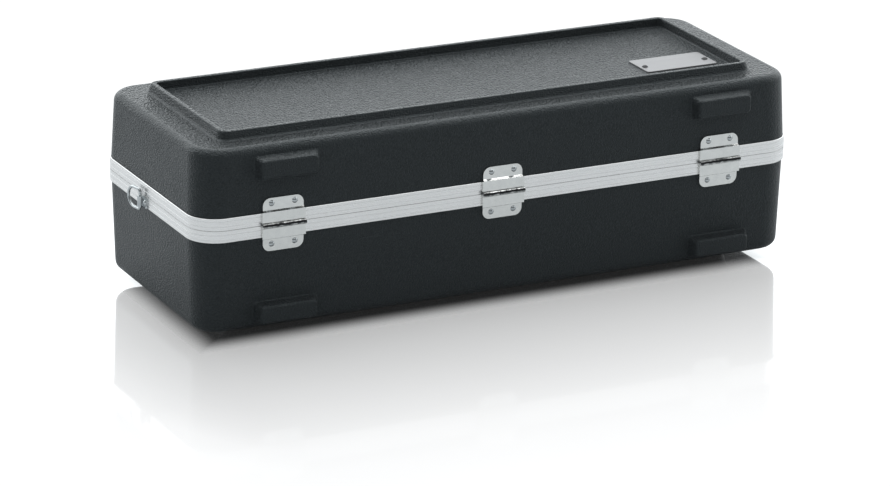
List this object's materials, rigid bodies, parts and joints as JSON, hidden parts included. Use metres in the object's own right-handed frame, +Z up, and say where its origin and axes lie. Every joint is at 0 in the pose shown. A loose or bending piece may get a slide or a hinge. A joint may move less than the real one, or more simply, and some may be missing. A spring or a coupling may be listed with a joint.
{
  "type": "trumpet case",
  "caption": "Hard moulded trumpet case with metal edging, riveted hinges, draw latches, a folding handle and a fitted plush interior.",
  "frame": {"origin": "on the ground under the middle of the overall box, handle included, with the case lying on the rim under its base", "axes": "+X along the case's length, +Y from the handle side towards the hinges, +Z up from base to lid"},
  "size_m": [0.6056, 0.244, 0.1865],
  "materials": {
    "moulded_shell": "fine pebbled grain, charcoal black",
    "edging": "satin, brushed lengthways",
    "nickel_hardware": "nickel plated, bright",
    "nameplate": "satin, bare",
    "black_fasteners": "black, semi-gloss",
    "grip": "black, grained",
    "plush": "short-pile plush, near black"
  },
  "bodies": {
    "base": {"base_shell": "moulded_shell", "base_edging": "edging", "base_insert": "plush", "hinge_rivets_base": "nickel_hardware", "handle_pins": "nickel_hardware", "handle_bracket_rivets": "nickel_hardware", "latch_plate_rivets": "nickel_hardware", "strap_lug_rivets": "nickel_hardware", "hinge_leaf_base_1": "nickel_hardware", "hinge_leaf_base_2": "nickel_hardware", "hinge_leaf_base_3": "nickel_hardware", "hinge_pin_1": "nickel_hardware", "hinge_pin_2": "nickel_hardware", "hinge_pin_3": "nickel_hardware", "handle_bracket_left": "nickel_hardware", "handle_bracket_right": "nickel_hardware", "latch_plate_left": "nickel_hardware", "latch_plate_right": "nickel_hardware", "latch_lever_pivots_left": "nickel_hardware", "latch_lever_pivots_right": "nickel_hardware", "strap_lug_left": "nickel_hardware", "strap_lug_right": "nickel_hardware"},
    "lid": {"lid_shell": "moulded_shell", "lid_edging": "edging", "lid_lining": "plush", "hinge_rivets_lid": "nickel_hardware", "latch_catch_rivets": "nickel_hardware", "nameplate": "nameplate", "nameplate_rivets": "black_fasteners", "hinge_leaf_lid_1": "nickel_hardware", "hinge_leaf_lid_2": "nickel_hardware", "hinge_leaf_lid_3": "nickel_hardware", "latch_catch_left": "nickel_hardware", "latch_catch_right": "nickel_hardware"},
    "handle": {"handle_bail": "nickel_hardware", "handle_grip": "grip"},
    "flap": {"compartment_flap": "plush", "flap_pull": "plush"},
    "latch_lever_left": {"latch_lever_left": "nickel_hardware", "latch_hook_pin_left": "nickel_hardware"},
    "latch_hook_left": {"latch_hook_left": "nickel_hardware"},
    "strap_ring_left": {"strap_ring_left": "nickel_hardware"},
    "latch_lever_right": {"latch_lever_right": "nickel_hardware", "latch_hook_pin_right": "nickel_hardware"},
    "latch_hook_right": {"latch_hook_right": "nickel_hardware"},
    "strap_ring_right": {"strap_ring_right": "nickel_hardware"}
  },
  "joints": [
    {"name": "lid_hinge", "type": "hinge", "parent": "base", "child": "lid", "pos_m": [0, 0.1186, 0.1075], "axis": [-1, 0, 0], "range_deg": [0, 175]},
    {"name": "handle_swing", "type": "hinge", "parent": "base", "child": "handle", "pos_m": [0, -0.113, 0.0915], "axis": [-1, 0, 0], "range_deg": [0, 105]},
    {"name": "flap_hinge", "type": "hinge", "parent": "base", "child": "flap", "pos_m": [-0.2322, 0.006, 0.1025], "axis": [0, 1, 0], "range_deg": [0, 90]},
    {"name": "strap_ring_right_swing", "type": "hinge", "parent": "base", "child": "strap_ring_right", "pos_m": [0.2982, -0.0048, 0.1031], "axis": [0, 0, 1], "range_deg": [0, 160]},
    {"name": "strap_ring_left_swing", "type": "hinge", "parent": "base", "child": "strap_ring_left", "pos_m": [-0.2982, -0.0048, 0.1031], "axis": [0, 0, -1], "range_deg": [0, 160]},
    {"name": "latch_lever_left_swing", "type": "hinge", "parent": "base", "child": "latch_lever_left", "pos_m": [-0.15, -0.1115, 0.0935], "axis": [-1, 0, 0], "range_deg": [0, 100]},
    {"name": "latch_hook_left_swing", "type": "hinge", "parent": "latch_lever_left", "child": "latch_hook_left", "pos_m": [-0.15, -0.1105, 0.0855], "axis": [-1, 0, 0], "range_deg": [-110, 0]},
    {"name": "latch_lever_right_swing", "type": "hinge", "parent": "base", "child": "latch_lever_right", "pos_m": [0.15, -0.1115, 0.0935], "axis": [-1, 0, 0], "range_deg": [0, 100]},
    {"name": "latch_hook_right_swing", "type": "hinge", "parent": "latch_lever_right", "child": "latch_hook_right", "pos_m": [0.15, -0.1105, 0.0855], "axis": [-1, 0, 0], "range_deg": [-110, 0]}
  ],
  "couplings": [
    {"joint": "latch_hook_left_swing", "follows": "latch_lever_left_swing", "ratio": -1.1},
    {"joint": "latch_hook_right_swing", "follows": "latch_lever_right_swing", "ratio": -1.1}
  ]
}
